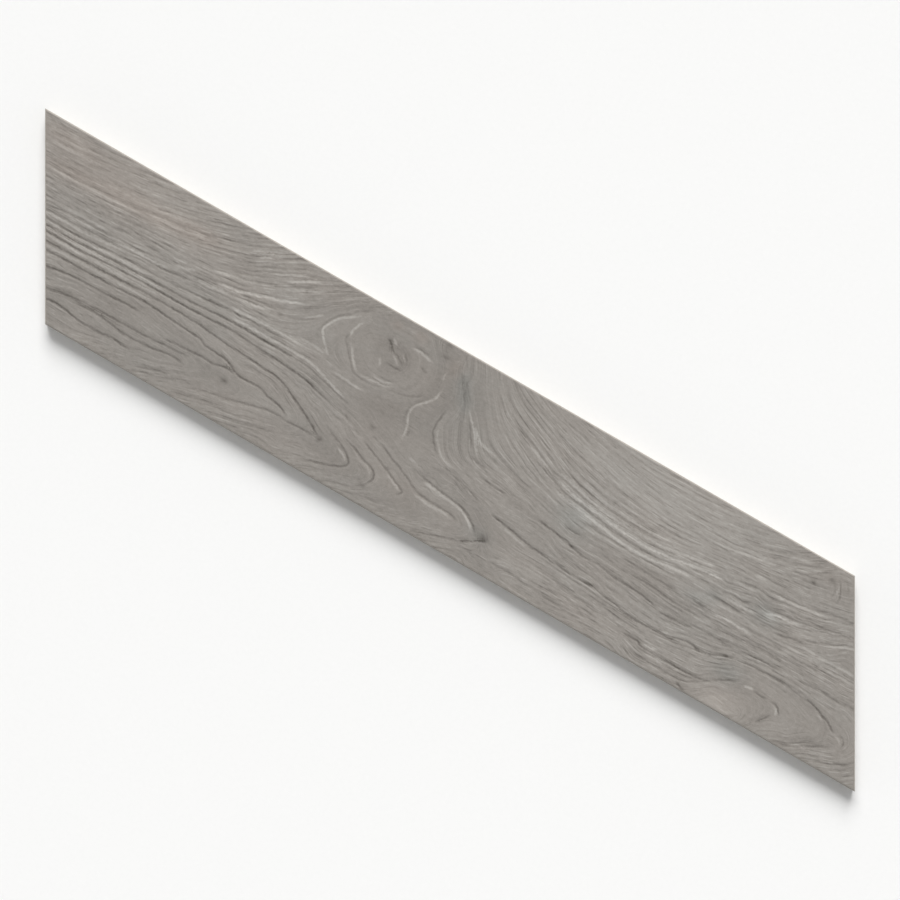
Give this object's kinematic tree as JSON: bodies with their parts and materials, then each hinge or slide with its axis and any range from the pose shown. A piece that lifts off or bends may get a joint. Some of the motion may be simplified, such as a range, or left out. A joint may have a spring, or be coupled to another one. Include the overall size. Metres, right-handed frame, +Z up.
{
  "type": "chevron porcelain tile",
  "caption": "Flat porcelain floor tile, a slim plank with both ends cut to the same slant for chevron laying, with a grey wood-grain face and a keyed back.",
  "frame": {"origin": "middle of the back, on the plane of the lands that the tile rests on", "axes": "+X along the long edges, +Y across the plank from long edge to long edge, +Z up out of the printed face"},
  "size_m": [0.6024, 0.108, 0.0095],
  "materials": {
    "porcelain": "matt, grey limed-oak print with fine grain relief"
  },
  "bodies": {
    "root": {"chevron_tile": "porcelain"}
  },
  "joints": []
}
